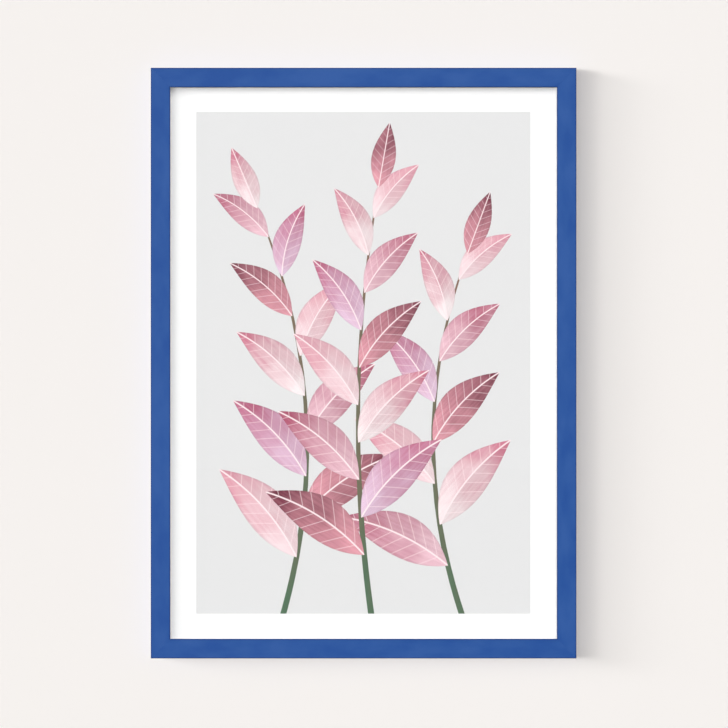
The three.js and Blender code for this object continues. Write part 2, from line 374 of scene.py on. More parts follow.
# Each key sun: its angle to the wall and how far above level it stands, in degrees, and its share.
KEY_STACK = (
    (13, 10, 0.18), (23, 8, 0.12), (35, 3, 0.24), (45, 2, 0.16), (58, 2, 0.15), (74, 2, 0.15),
)
TOP_STACK = ((32, 0.5), (55, 0.5))
TOP_ABOVE = 105
STRAIGHT_ON, FROM_BEHIND = 90, -40
BACK_STACK = (("back_left", 35), ("back_right", 145))
KEY_SOFT, TOP_SOFT, FRONT_SOFT, BACK_SOFT = 13, 22, 4, 40
SKY_SEEN, BACK_SKY, SKY_FADE = 0.86, 0.40, 0.4


def sun(name, wall_angle, around, brightness, soft):
    """A sun whose light meets the wall at wall_angle and comes from the direction around, measured
    in the wall from the left upwards, in degrees. brightness is what it adds to a white wall: the
    lamp's strength times the sine of the angle, over pi. A negative angle comes from behind."""
    tilt, turn = np.radians(wall_angle), np.radians(around)
    to_sun = Vector((-np.cos(tilt) * np.cos(turn), -np.sin(tilt), np.cos(tilt) * np.sin(turn)))
    data = bpy.data.lights.new(name, "SUN")
    data.energy = brightness * np.pi / abs(np.sin(tilt))
    data.angle = np.radians(soft)
    made = put_in_scene(name, data)
    made.rotation_mode = "QUATERNION"
    made.rotation_quaternion = to_sun.to_track_quat("Z", "Y")
    return made


for angle, above, share in KEY_STACK:
    sun(f"key_{angle}", angle, above, KEY_LIGHT * share, KEY_SOFT)

off_wall = bpy.data.collections.new("kept off the top light")
for backdrop in (studio_wall, studio_floor):
    off_wall.objects.link(backdrop)
for member in off_wall.collection_objects:
    member.light_linking.link_state = "EXCLUDE"
for angle, share in TOP_STACK:
    top_sun = sun(f"top_{angle}", angle, TOP_ABOVE, TOP_LIGHT * share, TOP_SOFT)
    top_sun.light_linking.receiver_collection = off_wall

front_sun = sun("front", STRAIGHT_ON, 0, FRONT_LIGHT, FRONT_SOFT)
front_sun.visible_glossy = False
front_sun.visible_transmission = False
for name, around in BACK_STACK:
    sun(name, FROM_BEHIND, around, BACK_LIGHT, BACK_SOFT)

sky = bpy.data.worlds.new("sky")
sky.use_nodes = True
sky_tree = sky.node_tree
sky_tree.nodes.clear()
direction = add_node(sky_tree, "TexCoord").outputs["Generated"]
to_back = add_node(sky_tree, "SeparateXYZ", {0: direction}).outputs["Y"]
fade = {"Value": to_back, "From Max": SKY_FADE, "To Min": SKY_LIGHT, "To Max": BACK_SKY}
lit = add_node(sky_tree, "MapRange", fade)
seen = add_node(sky_tree, "LightPath").outputs["Is Camera Ray"]
glow = {0: seen, PLAIN_A: lit, PLAIN_B: SKY_SEEN}
brightness = add_node(sky_tree, "Mix", glow, data_type="FLOAT")
background = add_node(sky_tree, "Background", {"Color": WHITE, "Strength": brightness})
add_node(sky_tree, "OutputWorld", {"Surface": background})
bpy.context.scene.world = sky
print("lamps:", len(bpy.data.lights))

# %% [markdown]
# ## Painted wood
# The moulding is a close-grained wood under two coats of satin water-based paint. The paint is even
# in colour, with faint clouds of about 16 by 34 mm where it was brushed out. Along each arris a
# darker line is painted in as shade, which also damps the highlight that the small round would
# catch. The grain still telegraphs through as fine pores. The rebate and the back were never
# painted. The brush only wrapped a few millimetres round the outer edge, and left a ragged line
# there.
#
# The grain has to run along each rail and right through it, so the material reads an attribute that
# the rail carries: its own run, depth and inset, in metres.

# %% Painted wood
PAINT, PAINT_LIGHT, PAINT_DARK = linear("224D90"), linear("285193"), linear("1C488D")
# Painted shade: a darker blue laid along each front arris, which also damps the highlight there.
ARRIS_PAINTED_SHADE = linear("082F66")
PAINT_RAMP = ((0.34, PAINT_DARK), (0.5, PAINT), (0.66, PAINT_LIGHT))
BARE, BARE_DARK = linear("CBB594"), linear("A98D69")
CLOUD_ACROSS, CLOUD_ALONG, CLOUD_DETAIL = 16 * MM, 34 * MM, 3.0
PORE_ACROSS, PORE_ALONG, PORE_DETAIL = 0.45 * MM, 14 * MM, 2.0
RING_ACROSS, RING_ALONG, RING_DETAIL = 2.2 * MM, 90 * MM, 3.0
PAINT_ROUGH, PAINT_ROUGH_SPREAD = 0.44, 0.06
BARE_ROUGH, ARRIS_ROUGH = 0.8, 0.95
# Water-based satin throws back a little less than the shader's usual 0.5.
PAINT_SPECULAR = 0.3
WRAP_RAGGED, WRAP_START, WRAP_END = 0.14, 0.20, 0.24
PORE_DEPTH = 0.05 * MM


def stretched_noise(tree, place, along, across, detail):
    """Noise whose blotches measure along by across: the place divided by those two lengths."""
    scale = (1 / along, 1 / across, 1 / across)
    scaled = add_node(tree, "VectorMath", {0: place, 1: scale}, operation="MULTIPLY")
    return add_node(tree, "TexNoise", {"Vector": scaled, "Scale": 1.0, "Detail": detail})


def painted_wood():
    """Satin paint over wood. Bare wood shows where the attribute bare, made ragged by the clouds,
    is high."""
    made, tree = new_material("satin painted wood")
    place = add_node(tree, "Attribute", attribute_name="grain").outputs["Vector"]
    shares = [add_node(tree, "Attribute", attribute_name=name) for name in ("bare", "arris")]
    bare, arris = (node.outputs["Fac"] for node in shares)
    cloud = stretched_noise(tree, place, CLOUD_ALONG, CLOUD_ACROSS, CLOUD_DETAIL)
    pore = stretched_noise(tree, place, PORE_ALONG, PORE_ACROSS, PORE_DETAIL)
    ring = stretched_noise(tree, place, RING_ALONG, RING_ACROSS, RING_DETAIL)
    clouded = add_node(tree, "ValToRGB", {0: cloud}, stops=PAINT_RAMP)
    # Shade is painted along each arris, where the attribute arris is high.
    arris_shading = {0: arris, MIX_A: clouded, MIX_B: ARRIS_PAINTED_SHADE}
    paint = add_node(tree, "Mix", arris_shading, data_type="RGBA").outputs[MIX_COLOUR]
    grains = {0: ring, MIX_A: BARE, MIX_B: BARE_DARK}
    wood = add_node(tree, "Mix", grains, data_type="RGBA").outputs[MIX_COLOUR]
    torn = {0: cloud, 1: WRAP_RAGGED, 2: bare}
    ragged = add_node(tree, "Math", torn, operation="MULTIPLY_ADD")
    edge = {"Value": ragged, "From Min": WRAP_START, "From Max": WRAP_END}
    shows = add_node(tree, "MapRange", edge)
    low, high = PAINT_ROUGH - PAINT_ROUGH_SPREAD, PAINT_ROUGH + PAINT_ROUGH_SPREAD
    satin = add_node(tree, "MapRange", {"Value": cloud, "To Min": low, "To Max": high})
    rubs = {0: arris, PLAIN_A: satin, PLAIN_B: ARRIS_ROUGH}
    rubbed = add_node(tree, "Mix", rubs, data_type="FLOAT")
    roughs = {0: shows, PLAIN_A: rubbed, PLAIN_B: BARE_ROUGH}
    rough = add_node(tree, "Mix", roughs, data_type="FLOAT")
    both = {0: shows, MIX_A: paint, MIX_B: wood}
    colour = add_node(tree, "Mix", both, data_type="RGBA").outputs[MIX_COLOUR]
    values = {"Base Color": colour, "Roughness": rough, "Specular IOR Level": PAINT_SPECULAR}
    return finish_with(made, tree, pore, PORE_DEPTH, values)


wood_finish = painted_wood()
print("made", wood_finish.name)

# %% [markdown]
# ## The rails
# Each rail is one moulding: a section carried along the run. The section is drawn as depth behind
# the front and inset from the outer edge, with a radius at each corner, and the run's two ends
# slide in by the inset, which gives the mitre. The last ring at each end is a little smaller, so
# each mitre shows as a fine eased line. The section also has a plain point a little way from each
# arris, so that the line of painted shade there, which the mesh carries from point to point, ends
# where it should.

# %% Section of the moulding
SUPPORT = 0.35 * MM
ARRIS_END = 1.6 * MM
FRONT_ROUND, LIP_ROUND, INNER_ROUND, BACK_ROUND = 0.2 * MM, 0.4 * MM, 0.2 * MM, 0.5 * MM
section_corners = np.array([
    (0, 0), (0, ARRIS_END), (0, rail_face - ARRIS_END), (0, rail_face), (ARRIS_END, rail_face),
    (lip, rail_face), (lip, land), (rail_depth, land), (rail_depth, 0), (ARRIS_END, 0),
])
section_radii = (
    FRONT_ROUND, 0, 0, FRONT_ROUND, 0, LIP_ROUND, INNER_ROUND, BACK_ROUND, BACK_ROUND, 0,
)
section = rounded(section_corners, section_radii, SUPPORT)
print("section has", len(section), "points")

# %% Sweep a rail
MITRE_HALF_GAP = 0.01 * MM
MITRE_EASE = 0.05 * MM
RUN_STEPS = 25


def run_shares(half):
    """Where the rings stand, from -1 to 1 along a run: even steps, and two more close inside each
    end for the eased mitre."""
    close = np.array([0, MITRE_EASE, MITRE_EASE + SUPPORT])
    even = np.linspace(-half, half, RUN_STEPS)[1:-1]
    return np.concatenate([-half + close, even, (half - close)[::-1]]) / half


def rail_rings(half):
    """Points at share (half - inset - gap) along the run, with the depth and the inset of the
    section. The end rings are drawn in towards the section's middle by the easing."""
    share = run_shares(half)[:, None]
    away = section - np.array([rail_depth, land]) / 2
    drawn_in = section - away / np.linalg.norm(away, axis=1)[:, None] * MITRE_EASE
    rows = np.broadcast_to(section, (len(share), *section.shape)).copy()
    rows[[0, -1]] = drawn_in
    along = share * (half - rows[:, :, 1] - MITRE_HALF_GAP)
    return np.stack([along, rows[:, :, 0], rows[:, :, 1]], axis=-1)


half_width, half_height = (right - left) / 2, (top - bottom) / 2
RAILS = {
    "bottom": ((middle_x, front, bottom), (1, 0, 0), (0, 0, 1), half_width),
    "top": ((middle_x, front, top), (1, 0, 0), (0, 0, -1), half_width),
    "left": ((left, front, middle_z), (0, 0, 1), (1, 0, 0), half_height),
    "right": ((right, front, middle_z), (0, 0, 1), (-1, 0, 0), half_height),
}
print("one rail has", rail_rings(half_width).shape, "points")

# %% [markdown]
# ## Slots and holes
# The V nails stand in slots across the mitres, and the screws and the hanger's nails stand in
# holes. They could be left whole, with the steel buried in the wood, but then the V nails, which
# lie just under the surface, would never show. So every slot and hole is one closed shape, and all
# of them are taken out of each rail at once with a Boolean cut.

# %% Shapes to cut
CLEARANCE = 0.3 * MM
V_APEX, V_LEG, V_THICK, V_DEEP = 4.5 * MM, 6 * MM, 0.6 * MM, 8.5 * MM
SCREW_HOLE, SCREW_DEEP = 1.8 * MM, 9.3 * MM
NAIL_HOLE, NAIL_DEEP = 1.2 * MM, 10.3 * MM
HOLE_AROUND = 24
CUT_PAST = 1 * MM
SIDES, HEIGHTS = ("left", "right"), ("low", "mid", "high")
SCREW_NAMES = [f"{side}_{height}" for side in SIDES for height in HEIGHTS]


def node_middle(node):
    """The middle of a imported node's box across and up, on the plane of the rails' backs."""
    low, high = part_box(node)
    return np.array([(low.x + high.x) / 2, back, (low.z + high.z) / 2])


def turned_rings(profile, middle, around):
    """A ring for each point (r, y) of a profile: the middle + (r cos t, y, r sin t), t once
    round."""
    turn = np.linspace(0, 2 * np.pi, around, endpoint=False)
    radius, height = np.asarray(profile).T[..., None]
    level = np.broadcast_to(height, (len(height), around))
    return middle + np.stack([radius * np.cos(turn), level, radius * np.sin(turn)], axis=-1)


def hole(node, radius, deep):
    """A round hole behind a node, from its depth to a little past the rail's back."""
    return turned_rings([(radius, -deep), (radius, CUT_PAST)], node_middle(node), HOLE_AROUND)


def v_slot(corner_x, corner_z, sign_x, sign_z):
    """The V nail's outline with room all round: two legs along the rails from the mitre line."""
    half = V_THICK / 2 + CLEARANCE
    near, far, end = V_APEX - half, V_APEX + half, V_APEX + V_LEG + CLEARANCE
    outline = [(near, near), (end, near), (end, far), (far, far), (far, end), (near, end)]
    flat = np.array([(corner_x + sign_x * x, 0, corner_z + sign_z * z) for x, z in outline])
    return np.stack([flat + (0, back - V_DEEP, 0), flat + (0, back + CUT_PAST, 0)])


sideways, upright = ((left, 1), (right, -1)), ((bottom, 1), (top, -1))
cutters = [v_slot(x, z, sign_x, sign_z) for x, sign_x in sideways for z, sign_z in upright]
cutters += [hole(f"button_screw_{name}", SCREW_HOLE, SCREW_DEEP) for name in SCREW_NAMES]
cutters += [hole(f"hanger_nail_{side}", NAIL_HOLE, NAIL_DEEP) for side in SIDES]
print("shapes to cut:", len(cutters))

# %% Cut and finish the rails
GRAIN_APART = 3.7
ARRIS_WIDTH = 0.75 * MM


def one_object(name, parts):
    """One object from several closed shapes that stand apart."""
    points, faces = [], []
    for rings in parts:
        faces += skin(rings, first=len(points))
        points += rings.reshape(-1, 3).tolist()
    return put_in_scene(name, closed_mesh(name, np.array(points), faces))


def cut_mesh(name, mesh, tool):
    """The mesh less the tool's shape."""
    blank = put_in_scene("blank", mesh)
    cut = blank.modifiers.new("cut", "BOOLEAN")
    cut.object = tool
    cut.operation = "DIFFERENCE"
    cut.solver = "EXACT"
    ready = blank.evaluated_get(bpy.context.evaluated_depsgraph_get())
    made = bpy.data.meshes.new_from_object(ready)
    made.name = name
    bpy.data.objects.remove(blank)
    smooth(made)
    return made


def rail_attributes(mesh, start, axes, seed):
    """grain is the point's own run, depth and inset, moved by a seed. bare is the inset as a share
    of the land, behind the lip, and 0 before it. arris is a bell round each front corner: where it
    is high, the material paints a line of shade and makes the paint rougher."""
    own = (mesh_points(mesh) - start) @ axes.T
    depth, inset = own[:, 1], own[:, 2]
    set_attribute(mesh, "grain", "FLOAT_VECTOR", "POINT", own + seed)
    behind = depth > lip - LIP_ROUND / 2
    set_attribute(mesh, "bare", "FLOAT", "POINT", np.where(behind, np.clip(inset / land, 0, 1), 0))
    from_edge = np.minimum(inset, rail_face - inset)
    bell = np.exp(-((np.hypot(depth, from_edge) / ARRIS_WIDTH) ** 2))
    set_attribute(mesh, "arris", "FLOAT", "POINT", bell)


tool = one_object("slots and holes", cutters)
for seed, (side, (start, run, inward, half)) in enumerate(RAILS.items()):
    axes = np.array([run, (0, 1, 0), inward], float)
    rings = np.array(start) + rail_rings(half) @ axes
    whole = closed_mesh("whole", rings, skin(rings))
    rail_mesh = cut_mesh(f"wood_rail_{side}", whole, tool)
    rail_attributes(rail_mesh, np.array(start), axes, GRAIN_APART * seed)
    add_piece(f"wood_rail_{side}", rail_mesh, wood_finish, "frame", f"rail_{side}")
    print("rail", side, "has", len(rail_mesh.vertices), "points")
bpy.data.objects.remove(tool)

# %% [markdown]
# ## Clear acrylic
# The glazing is a cast acrylic sheet, flat and polished on both faces. It mirrors about a
# thirteenth of what it faces and bends light by an index of 1.49. A thin flat pane doesn't need
# light to be traced through it twice, so it simply lets lamps and bounced light pass, and stays
# true to the eye.

# %% Acrylic
ACRYLIC_IOR, ACRYLIC_ROUGH = 1.49, 0.0


def clear_acrylic():
    """Principled glass to the camera, and nothing at all to lamps and to bounced light."""
    made, tree = new_material("polished clear acrylic")
    rays = add_node(tree, "LightPath").outputs
    values = {"Roughness": ACRYLIC_ROUGH, "IOR": ACRYLIC_IOR, "Transmission Weight": 1.0}
    pane = add_node(tree, "BsdfPrincipled", {**values, "Base Color": WHITE})
    return open_where(made, tree, pane, rays["Is Shadow Ray"], rays["Is Diffuse Ray"])


def dress(node, material):
    """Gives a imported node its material, in place of the plain one that it was packed with."""
    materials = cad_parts[node].data.materials
    materials.clear()
    materials.append(material)


dress("glazing", clear_acrylic())
print("glazed")

# %% [markdown]
# ## The printed sheet
# The sheet is a smooth matt paper with a white border all round. The picture is a plain leaf
# design: three stems with pointed leaves in blush, rose and maroon on pale grey. It could be drawn
# in the material, leaf upon leaf, but then each point of the paper would work through every leaf.
# Here the sheet's front is cut along the leaves' outlines, as a stencil is. Each cut face knows
# which leaf it belongs to and where on the leaf it lies, and one leaf formula colours them all.

# %% A leaf's form
# PEAK makes the arch u (1 - u) reach 1 half-way along.
PEAK = 4.0
TAPER_START, TAPER_SLOPE = 1.25, -0.5
STEM_TAPER = 0.75
OUTLINE_STEPS = 24
# A stem or a leaf, in the sheet's plane. veins is 1 for a leaf and 0 for a stem.
MARK = np.dtype([
    ("foot", float, 2), ("heading", float), ("length", float), ("width", float), ("bend", float),
    ("veins", float), ("foot_tint", float, 4), ("tip_tint", float, 4),
])


def leaf_half(u, width):
    """Half the width at u: 4 width u (1 - u) (1.25 - 0.5 u). All is measured in leaf lengths."""
    return PEAK * width * u * (1 - u) * (TAPER_START + TAPER_SLOPE * u)


def leaf_line(u, bend):
    """How far the middle line stands off the straight one: 4 bend u (1 - u)."""
    return PEAK * bend * u * (1 - u)


def stem_half(u, width):
    """A stem is widest at its foot and narrows evenly: width (1 - 0.75 u)."""
    return width * (1 - STEM_TAPER * u)


def leaf_outline(mark):
    """Up the leaf's right side and down its left, in the sheet's plane, because the cut takes a
    loop that runs the other way for its outside. The points crowd towards the foot and the tip, at
    u = (1 - cos t) / 2."""
    u = (1 - np.cos(np.linspace(0, np.pi, OUTLINE_STEPS))) / 2
    form = leaf_half if mark["veins"] else stem_half
    middle, half = leaf_line(u, mark["bend"]), form(u, mark["width"])
    along = np.concatenate([u, u[::-1]])
    off = np.concatenate([middle - half, (middle + half)[::-1]])
    ahead = np.array([np.cos(mark["heading"]), np.sin(mark["heading"])])
    aside = np.array([-ahead[1], ahead[0]])
    return mark["foot"] + mark["length"] * (along[:, None] * ahead + off[:, None] * aside)


print("a leaf's outline has", 2 * OUTLINE_STEPS, "points")

# %% [markdown]
# The stems rise from a little below the picture's foot, which cuts them off square. Each carries
# leaves on alternate sides, longest at the bottom, and one at its tip, all placed on the stem's own
# curve, so that they stay on it if it is bent another way.

# %% Lay out the sprays
PICTURE_WIDTH, PICTURE_HEIGHT = 353 * MM, 530 * MM
PICTURE_RIGHT, PICTURE_UP = -0.3 * MM, 0.35 * MM
STEM_HALF, STEM_BELOW = 3.4 * MM, 12 * MM
LEAF_FIRST, LEAF_LAST = 0.16, 0.93
LEAF_LONG, LEAF_SHORT = 124 * MM, 70 * MM
LEAF_OPEN, LEAF_CLOSED = np.radians(52), np.radians(30)
LEAF_WIDTH, LEAF_BEND = 0.18, 0.07
PAPER_WHITE, PICTURE_GREY = linear("F9F9F8"), linear("DADADA")
STEM_TINTS = (linear("47664C"), linear("80604F"))
TINTS = [
    (linear("F1DDE0"), linear("D4899A")),
    (linear("E9C1CC"), linear("A9506A")),
    (linear("DE9AA6"), linear("6B2438")),
    (linear("F4E7E8"), linear("C67388")),
    (linear("E2C4DA"), linear("B45C7A")),
]
TINT_STEP = 2
# foot and tip are in millimetres from the middle of the sprays' foot. bend is a share of the
# length.
SPRAYS = (
    {"foot": (-88, 0), "tip": (-112, 440), "bend": -0.09, "leaves": 9},
    {"foot": (108, 0), "tip": (110, 392), "bend": 0.09, "leaves": 8},
    {"foot": (10, 0), "tip": (16, 462), "bend": 0.04, "leaves": 10},
)
picture_middle = np.array([middle_x + PICTURE_RIGHT, middle_z + PICTURE_UP])
picture_foot = picture_middle - (0, PICTURE_HEIGHT / 2 + STEM_BELOW)


def spray_marks(number, spray):
    """The stem, its leaves and the leaf at its tip. A point of the stem is foot + d u + n 4 bend u
    (1 - u), and its heading is the slope of that."""
    foot = picture_foot + np.array(spray["foot"]) * MM
    chord = (np.array(spray["tip"]) - spray["foot"]) * MM
    normal = np.array([-chord[1], chord[0]])
    bend = spray["bend"]
    u = np.append(np.linspace(LEAF_FIRST, LEAF_LAST, spray["leaves"]), 1.0)
    side = np.where(np.arange(len(u)) % 2, -1, 1)
    side[-1] = 0
    share = (u - LEAF_FIRST) / (1 - LEAF_FIRST)
    slopes = chord + (PEAK * bend * (1 - 2 * u))[:, None] * normal
    opening = LEAF_OPEN + (LEAF_CLOSED - LEAF_OPEN) * share
    leaves = np.zeros(len(u), MARK)
    leaves["foot"] = foot + u[:, None] * chord + leaf_line(u, bend)[:, None] * normal
    leaves["heading"] = np.arctan2(slopes[:, 1], slopes[:, 0]) + side * opening
    leaves["length"] = LEAF_LONG + (LEAF_SHORT - LEAF_LONG) * share
    leaves["width"] = LEAF_WIDTH
    leaves["bend"] = -side * LEAF_BEND
    leaves["veins"] = 1.0
    tints = np.array(TINTS)[(np.arange(len(u)) * TINT_STEP + number) % len(TINTS)]
    leaves["foot_tint"], leaves["tip_tint"] = tints[:, 0], tints[:, 1]
    stem = np.zeros(1, MARK)
    long = np.linalg.norm(chord)
    stem[0] = (foot, np.arctan2(chord[1], chord[0]), long, STEM_HALF / long, bend, 0.0, *STEM_TINTS)
    return np.concatenate([stem, leaves])


# The paper and the picture's ground are marks as well, without a form.
plain = np.zeros(2, MARK)
plain["length"] = 1.0
plain["foot_tint"] = plain["tip_tint"] = [PAPER_WHITE, PICTURE_GREY]
marks = np.concatenate([plain, *(spray_marks(k, spray) for k, spray in enumerate(SPRAYS))])
print("marks on the sheet:", len(marks))

# %% [markdown]
# ## Cutting the sheet
# Blender can split a flat area along any outlines into triangles, and it tells which outlines lie
# round each one. The last of them is the leaf on top. The sheet's back and its four edges are then
# added, so that it is a closed sheet with its real thickness.

# %% Cut the sheet's front
PAPER, PICTURE = 0, 1
INSIDE_ONLY, CUT_CLOSE = 1, 1e-7


def rectangle(low_x, low_z, high_x, high_z):
    """The four corners, in order round it."""
    return np.array([(low_x, low_z), (high_x, low_z), (high_x, high_z), (low_x, high_z)])


def cut_front(outlines):
    """Points and triangles of the area in the first outline, and for each triangle the last outline
    that holds it, or the first where it lies outside the second."""
    lengths = [len(outline) for outline in outlines]
    starts = np.cumsum([0, *lengths[:-1]])
    rings = [list(range(start, start + length)) for start, length in zip(starts, lengths)]
    points = [Vector(point) for point in np.concatenate(outlines)]
    corners, _, triangles, _, _, owners = delaunay_2d_cdt(points, [], rings, INSIDE_ONLY, CUT_CLOSE)
    tops = np.array([max(owned) if PICTURE in owned else PAPER for owned in owners])
    return np.array(corners), triangles, tops


sheet_outline = rectangle(sheet_low.x, sheet_low.z, sheet_high.x, sheet_high.z)
picture_half = np.array([PICTURE_WIDTH, PICTURE_HEIGHT]) / 2
picture_outline = rectangle(*(picture_middle - picture_half), *(picture_middle + picture_half))
outlines = [sheet_outline, picture_outline, *(leaf_outline(mark) for mark in marks[len(plain):])]
flat, triangles, tops = cut_front(outlines)
print("front of the sheet:", len(triangles), "triangles")

# %% Close the sheet, and say what lies where
def sheet_points():
    """The cut front, then the sheet's four corners again at the back."""
    front_points = np.insert(flat, 1, sheet_low.y, axis=1)
    return np.concatenate([front_points, np.insert(sheet_outline, 1, sheet_high.y, axis=1)])


def mark_corners(mesh, labels):
    """For each face corner, at p: u and w are p - foot along and across the leaf's heading, over
    its length, and the leaf's own form and tints go with them."""
    loop_points = np.empty(len(mesh.loops), int)
    mesh.loops.foreach_get("vertex_index", loop_points)
    totals = np.empty(len(mesh.polygons), int)
    mesh.polygons.foreach_get("loop_total", totals)
    label = np.repeat(labels, totals)
    own = marks[label]
    away = mesh_points(mesh)[loop_points][:, [0, 2]] - own["foot"]
    cosine, sine = np.cos(own["heading"]), np.sin(own["heading"])
    u = (away[:, 0] * cosine + away[:, 1] * sine) / own["length"]
    w = (away[:, 1] * cosine - away[:, 0] * sine) / own["length"]
    form = np.stack([own["width"], own["bend"], own["veins"]], axis=-1)
    set_attribute(mesh, "leaf", "FLOAT_VECTOR", "CORNER", np.stack([u, w, label], axis=-1))
    set_attribute(mesh, "form", "FLOAT_VECTOR", "CORNER", form)
    set_attribute(mesh, "foot_tint", "FLOAT_COLOR", "CORNER", own["foot_tint"])
    set_attribute(mesh, "tip_tint", "FLOAT_COLOR", "CORNER", own["tip_tint"])


edge_front = [int(np.linalg.norm(flat - corner, axis=1).argmin()) for corner in sheet_outline]
edge_back = [len(flat) + k for k in range(len(sheet_outline))]
ahead_front, ahead_back = np.roll(edge_front, -1).tolist(), np.roll(edge_back, -1).tolist()
rim = list(zip(edge_front, ahead_front, ahead_back, edge_back))
sheet_mesh = closed_mesh("print paper", sheet_points(), [*triangles, *rim, edge_back])
mark_corners(sheet_mesh, np.append(tops, [PAPER] * (len(rim) + 1)))
print("sheet:", len(sheet_mesh.polygons), "faces")

# %% [markdown]
# ## Ink on paper
# The ink lies flat in a matt coating, so it changes the colour and nothing else. Along a leaf the
# tint goes from foot to tip, blurred by a cloud and by fine streaks along it, as a wet brush leaves
# it. One half is a little darker, as if folded, the rim is darker where the wash dried, and the
# middle rib and side veins stay pale.

# %% Printed paper
RIB_NEAR, RIB_FAR = 0.003, 0.010
HALF_VEIN_GAP, VEIN_SLANT, VEIN_NEAR, VEIN_FAR, VEIN_SHARE = 0.055, 0.85, 0.002, 0.007, 0.45
FOLD_SHADE, FOLD_HALF = 0.86, 0.012
RIM_START, RIM_SHADE = 0.86, 0.84
CLOUD_SCALE, STREAK_ALONG, STREAK_ACROSS = 4.0, 2.5, 46.0
CLOUD_SHARE, STREAK_SHARE, BLEND_START = 0.8, 0.5, -0.65
VEIN_TINT = linear("F6E4E6")
TOOTH_WIDTH, TOOTH_DEPTH = 0.4 * MM, 0.004 * MM
PAPER_ROUGH = 0.7


def leaf_share(tree, leaf, u):
    """How far the tint has gone from foot to tip: u + 0.8 cloud + 0.5 streak - 0.65."""
    cloud = add_node(tree, "TexNoise", {"Vector": leaf, "Scale": CLOUD_SCALE})
    scale = (STREAK_ALONG, STREAK_ACROSS, 1)
    drawn = add_node(tree, "VectorMath", {0: leaf, 1: scale}, operation="MULTIPLY")
    streak = add_node(tree, "TexNoise", {"Vector": drawn, "Scale": 1.0})
    started = add_node(tree, "Math", {0: u, 1: BLEND_START}, operation="ADD")
    clouded = {0: cloud, 1: CLOUD_SHARE, 2: started}
    blend = add_node(tree, "Math", clouded, operation="MULTIPLY_ADD")
    streaked = {0: streak, 1: STREAK_SHARE, 2: blend}
    return add_node(tree, "Math", streaked, operation="MULTIPLY_ADD", use_clamp=True)


def vein_lines(tree, u, away):
    """1 on the middle rib, where |across| is small, and 0.45 on the side veins, where u - 0.85
    |across| is a multiple of their spacing."""
    rib_line = {"Value": away, "From Min": RIB_NEAR, "From Max": RIB_FAR, "To Min": 1.0}
    rib = add_node(tree, "MapRange", {**rib_line, "To Max": 0.0})
    lean = {0: away, 1: -VEIN_SLANT, 2: u}
    slanted = add_node(tree, "Math", lean, operation="MULTIPLY_ADD")
    wave = add_node(tree, "Math", {0: slanted, 1: HALF_VEIN_GAP}, operation="PINGPONG")
    line = {"Value": wave, "From Min": VEIN_NEAR, "From Max": VEIN_FAR, "To Min": VEIN_SHARE}
    vein = add_node(tree, "MapRange", {**line, "To Max": 0.0})
    return add_node(tree, "Math", {0: rib, 1: vein}, operation="MAXIMUM")


def print_paper():
    """The leaf formula over the attributes leaf (u, w, number) and form (width, bend, veins)."""
    made, tree = new_material("matt coated print paper")
    names = ("leaf", "form", "foot_tint", "tip_tint")
    carried = [add_node(tree, "Attribute", attribute_name=name) for name in names]
    leaf, form = (node.outputs["Vector"] for node in carried[:2])
    foot_tint, tip_tint = (node.outputs["Color"] for node in carried[2:])
    u, w, _ = add_node(tree, "SeparateXYZ", {0: leaf}).outputs
    width, bend, veins = add_node(tree, "SeparateXYZ", {0: form}).outputs
    rest = add_node(tree, "Math", {0: 1.0, 1: u}, operation="SUBTRACT")
    both = add_node(tree, "Math", {0: u, 1: rest}, operation="MULTIPLY")
    hump = add_node(tree, "Math", {0: both, 1: PEAK}, operation="MULTIPLY")
    line = add_node(tree, "Math", {0: hump, 1: bend}, operation="MULTIPLY")
    across = add_node(tree, "Math", {0: w, 1: line}, operation="SUBTRACT")
    away = add_node(tree, "Math", {0: across}, operation="ABSOLUTE")
    slope = {0: u, 1: TAPER_SLOPE, 2: TAPER_START}
    taper = add_node(tree, "Math", slope, operation="MULTIPLY_ADD")
    shape = add_node(tree, "Math", {0: hump, 1: taper}, operation="MULTIPLY")
    half = add_node(tree, "Math", {0: shape, 1: width}, operation="MULTIPLY")
    outwards = add_node(tree, "Math", {0: away, 1: half}, operation="DIVIDE")
    tints = {0: leaf_share(tree, leaf, u), MIX_A: foot_tint, MIX_B: tip_tint}
    tint = add_node(tree, "Mix", tints, data_type="RGBA").outputs[MIX_COLOUR]
    halves = {"Value": across, "From Min": -FOLD_HALF, "From Max": FOLD_HALF, "To Min": FOLD_SHADE}
    fold = add_node(tree, "MapRange", halves)
    edge = {"Value": outwards, "From Min": RIM_START, "To Min": 1.0, "To Max": RIM_SHADE}
    dried = add_node(tree, "MapRange", edge)
    rims = {0: veins, PLAIN_A: 1.0, PLAIN_B: dried}
    rim_shade = add_node(tree, "Mix", rims, data_type="FLOAT")
    shade = add_node(tree, "Math", {0: fold, 1: rim_shade}, operation="MULTIPLY")
    inked = add_node(tree, "Math", {0: width, 1: 0.0}, operation="GREATER_THAN")
    shades = {0: inked, PLAIN_A: 1.0, PLAIN_B: shade}
    shown = add_node(tree, "Mix", shades, data_type="FLOAT")
    toned = add_node(tree, "HueSaturation", {"Color": tint, "Value": shown})
    lines = {0: vein_lines(tree, u, away), 1: veins}
    pale = add_node(tree, "Math", lines, operation="MULTIPLY")
    place = add_node(tree, "TexCoord").outputs["Object"]
    tooth = add_node(tree, "TexNoise", {"Vector": place, "Scale": 1 / TOOTH_WIDTH})
    veined = {0: pale, MIX_A: toned, MIX_B: VEIN_TINT}
    colour = add_node(tree, "Mix", veined, data_type="RGBA").outputs[MIX_COLOUR]
    values = {"Base Color": colour, "Roughness": PAPER_ROUGH}
    return finish_with(made, tree, tooth, TOOTH_DEPTH, values)


add_piece("paper_print", sheet_mesh, print_paper(), "frame", "print_sheet")
print("printed")

